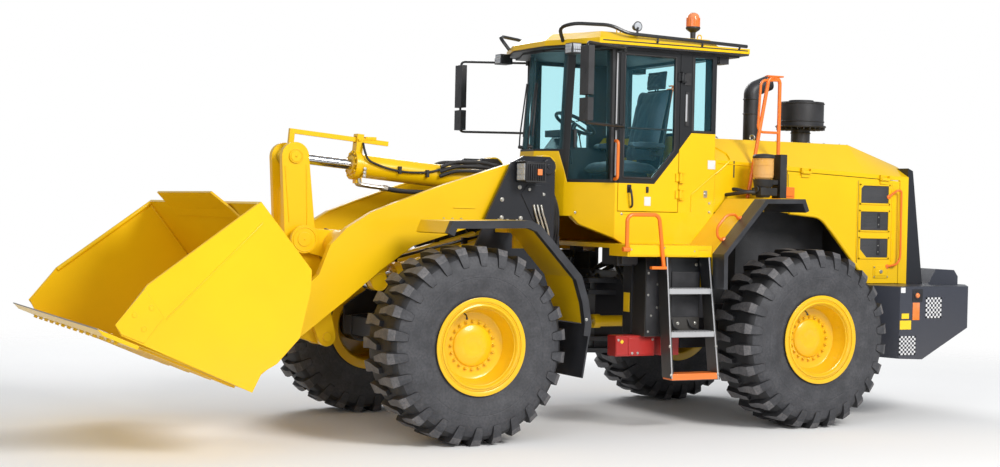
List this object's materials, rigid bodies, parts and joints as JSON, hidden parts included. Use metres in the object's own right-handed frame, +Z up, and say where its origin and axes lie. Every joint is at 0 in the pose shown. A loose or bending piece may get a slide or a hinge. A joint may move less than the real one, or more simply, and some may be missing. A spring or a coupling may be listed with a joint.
{
  "type": "wheel loader",
  "caption": "Articulated wheel loader with a lifting arm, tipping bucket, steel cab, hooded engine and rear counterweight, every moving piece on its own joint.",
  "frame": {"origin": "on the ground, in the middle of the length and width", "axes": "+X forward to the bucket, +Y to the left side, +Z up"},
  "size_m": [8.576, 3, 3.74],
  "materials": {
    "yellow_paint": "glossy",
    "dark_paint": "satin",
    "grey_steel": "worn",
    "orange_paint": "glossy",
    "red_paint": "glossy",
    "cast_iron": "satin",
    "chrome_rod": "polished",
    "tyre_rubber": "matt",
    "clear_glass": "clear",
    "amber_plastic": "glossy",
    "black_plastic": "matt",
    "seat_fabric": "woven",
    "lamp_plastic": "glossy"
  },
  "bodies": {
    "rear_frame": {"air_precleaner": "black_plastic", "beacon": "amber_plastic", "cab_console": "black_plastic", "cab_glass": "clear_glass", "cab_posts": "dark_paint", "cab_roof": "yellow_paint", "cab_shell": "yellow_paint", "counterweight": "cast_iron", "exhaust_stack": "dark_paint", "handrails": "orange_paint", "hood": "yellow_paint", "hood_rails": "orange_paint", "ladders": "grey_steel", "mirrors": "black_plastic", "platforms": "yellow_paint", "powertrain": "dark_paint", "rear_axle": "dark_paint", "rear_chassis": "dark_paint", "rear_fenders": "yellow_paint", "rear_grille": "dark_paint", "seat": "seat_fabric", "side_tanks": "dark_paint", "tool_boxes": "red_paint", "work_lamps": "lamp_plastic"},
    "front_frame": {"front_chassis": "dark_paint", "front_axle": "dark_paint", "front_fenders": "yellow_paint", "fender_bands": "dark_paint", "headlights": "lamp_plastic"},
    "boom": {"boom": "yellow_paint"},
    "bucket_pins": {"bucket_pins": "grey_steel"},
    "bucket": {"bucket": "yellow_paint"},
    "bellcrank_pin": {"bellcrank_pin": "grey_steel"},
    "bellcrank": {"bellcrank": "yellow_paint"},
    "tilt_link": {"tilt_link": "yellow_paint"},
    "tilt_barrel": {"tilt_barrel": "yellow_paint"},
    "tilt_rod": {"tilt_rod": "chrome_rod", "tilt_guide_bar": "yellow_paint"},
    "lift_barrels": {"lift_barrels": "yellow_paint"},
    "lift_rods": {"lift_rods": "chrome_rod"},
    "cab_door": {"cab_door": "yellow_paint", "cab_door_frame": "dark_paint", "cab_door_glass": "clear_glass"},
    "engine_door_left": {"engine_door_left": "yellow_paint"},
    "engine_door_right": {"engine_door_right": "yellow_paint"},
    "steering_barrel_left": {"steering_barrel_left": "yellow_paint"},
    "steering_rod_left": {"steering_rod_left": "chrome_rod"},
    "front_wheel_left": {"tyre_front_left": "tyre_rubber", "rim_front_left": "yellow_paint"},
    "rear_wheel_left": {"tyre_rear_left": "tyre_rubber", "rim_rear_left": "yellow_paint"},
    "steering_barrel_right": {"steering_barrel_right": "yellow_paint"},
    "steering_rod_right": {"steering_rod_right": "chrome_rod"},
    "front_wheel_right": {"tyre_front_right": "tyre_rubber", "rim_front_right": "yellow_paint"},
    "rear_wheel_right": {"tyre_rear_right": "tyre_rubber", "rim_rear_right": "yellow_paint"}
  },
  "joints": [
    {"name": "articulation", "type": "hinge", "parent": "rear_frame", "child": "front_frame", "pos_m": [-0.448, 0, 0.9], "axis": [0, 0, 1], "range_deg": [-35, 35]},
    {"name": "boom_lift", "type": "hinge", "parent": "front_frame", "child": "boom", "pos_m": [0.212, 0, 2.26], "axis": [0, -1, 0], "range_deg": [-8.5, 70]},
    {"name": "bucket_level", "type": "hinge", "parent": "boom", "child": "bucket_pins", "pos_m": [2.727, 0, 0.8], "axis": [0, -1, 0], "range_deg": [-53, 8]},
    {"name": "bucket_tilt", "type": "hinge", "parent": "bucket_pins", "child": "bucket", "pos_m": [2.727, 0, 0.8], "axis": [0, 1, 0], "range_deg": [-12, 75]},
    {"name": "bellcrank_level", "type": "hinge", "parent": "boom", "child": "bellcrank_pin", "pos_m": [2.297, 0, 1.602], "axis": [0, -1, 0], "range_deg": [-3, 16]},
    {"name": "bellcrank_swing", "type": "hinge", "parent": "bellcrank_pin", "child": "bellcrank", "pos_m": [2.297, 0, 1.602], "axis": [0, -1, 0], "range_deg": [-6, 31]},
    {"name": "link_swing", "type": "hinge", "parent": "bellcrank", "child": "tilt_link", "pos_m": [2.042, 0, 0.786], "axis": [0, -1, 0], "range_deg": [-14, 4]},
    {"name": "tilt_cylinder_swing", "type": "hinge", "parent": "front_frame", "child": "tilt_barrel", "pos_m": [0.402, 0, 2.114], "axis": [0, -1, 0], "range_deg": [-9, 71]},
    {"name": "tilt_cylinder_stroke", "type": "slide", "parent": "tilt_barrel", "child": "tilt_rod", "axis": [0.9962, 0, 0.0869], "range_m": [-0.29, 0.05]},
    {"name": "lift_cylinders_swing", "type": "hinge", "parent": "front_frame", "child": "lift_barrels", "pos_m": [0.372, 0, 1.62], "axis": [0, -1, 0], "range_deg": [-9, 69]},
    {"name": "lift_cylinders_stroke", "type": "slide", "parent": "lift_barrels", "child": "lift_rods", "axis": [0.9653, 0, -0.2613], "range_m": [-0.1, 0.76]},
    {"name": "steering_swing_left", "type": "hinge", "parent": "rear_frame", "child": "steering_barrel_left", "pos_m": [-1.208, 0.28, 0.9], "axis": [0, 0, 1], "range_deg": [-13, 13]},
    {"name": "steering_stroke_left", "type": "slide", "parent": "steering_barrel_left", "child": "steering_rod_left", "axis": [1, 0, 0], "range_m": [-0.18, 0.18]},
    {"name": "steering_swing_right", "type": "hinge", "parent": "rear_frame", "child": "steering_barrel_right", "pos_m": [-1.208, -0.28, 0.9], "axis": [0, 0, 1], "range_deg": [-13, 13]},
    {"name": "steering_stroke_right", "type": "slide", "parent": "steering_barrel_right", "child": "steering_rod_right", "axis": [1, 0, 0], "range_m": [-0.18, 0.18]},
    {"name": "front_wheel_spin_left", "type": "hinge", "parent": "front_frame", "child": "front_wheel_left", "pos_m": [1.232, 1.122, 0.795], "axis": [0, 1, 0], "continuous": true},
    {"name": "front_wheel_spin_right", "type": "hinge", "parent": "front_frame", "child": "front_wheel_right", "pos_m": [1.232, -1.122, 0.795], "axis": [0, 1, 0], "continuous": true},
    {"name": "rear_wheel_spin_left", "type": "hinge", "parent": "rear_frame", "child": "rear_wheel_left", "pos_m": [-2.128, 1.122, 0.795], "axis": [0, 1, 0], "continuous": true},
    {"name": "rear_wheel_spin_right", "type": "hinge", "parent": "rear_frame", "child": "rear_wheel_right", "pos_m": [-2.128, -1.122, 0.795], "axis": [0, 1, 0], "continuous": true},
    {"name": "cab_door_swing", "type": "hinge", "parent": "rear_frame", "child": "cab_door", "pos_m": [-1.023, 0.79, 2.6], "axis": [0, 0, 1], "range_deg": [0, 85]},
    {"name": "engine_door_lift_left", "type": "hinge", "parent": "rear_frame", "child": "engine_door_left", "pos_m": [-2.228, 0.768, 2.29761], "axis": [0.9992, 0, 0.0409], "range_deg": [0, 75]},
    {"name": "engine_door_lift_right", "type": "hinge", "parent": "rear_frame", "child": "engine_door_right", "pos_m": [-2.228, -0.768, 2.29761], "axis": [-0.9992, 0, -0.0409], "range_deg": [0, 75]}
  ],
  "couplings": [
    {"joint": "bucket_level", "follows": "boom_lift", "ratio": -0.74},
    {"joint": "bellcrank_level", "follows": "boom_lift", "ratio": 0.217},
    {"joint": "bellcrank_swing", "follows": "bucket_tilt", "ratio": 0.4},
    {"joint": "link_swing", "follows": "bucket_tilt", "ratio": -0.144},
    {"joint": "tilt_cylinder_swing", "follows": "boom_lift", "ratio": 1},
    {"joint": "tilt_cylinder_stroke", "follows": "bucket_tilt", "m_per_rad": -0.217},
    {"joint": "lift_cylinders_swing", "follows": "boom_lift", "ratio": 0.974},
    {"joint": "lift_cylinders_stroke", "follows": "boom_lift", "m_per_rad": 0.62},
    {"joint": "steering_swing_left", "follows": "articulation", "ratio": 0.353},
    {"joint": "steering_stroke_left", "follows": "articulation", "m_per_rad": -0.294},
    {"joint": "steering_swing_right", "follows": "articulation", "ratio": 0.353},
    {"joint": "steering_stroke_right", "follows": "articulation", "m_per_rad": 0.294}
  ]
}
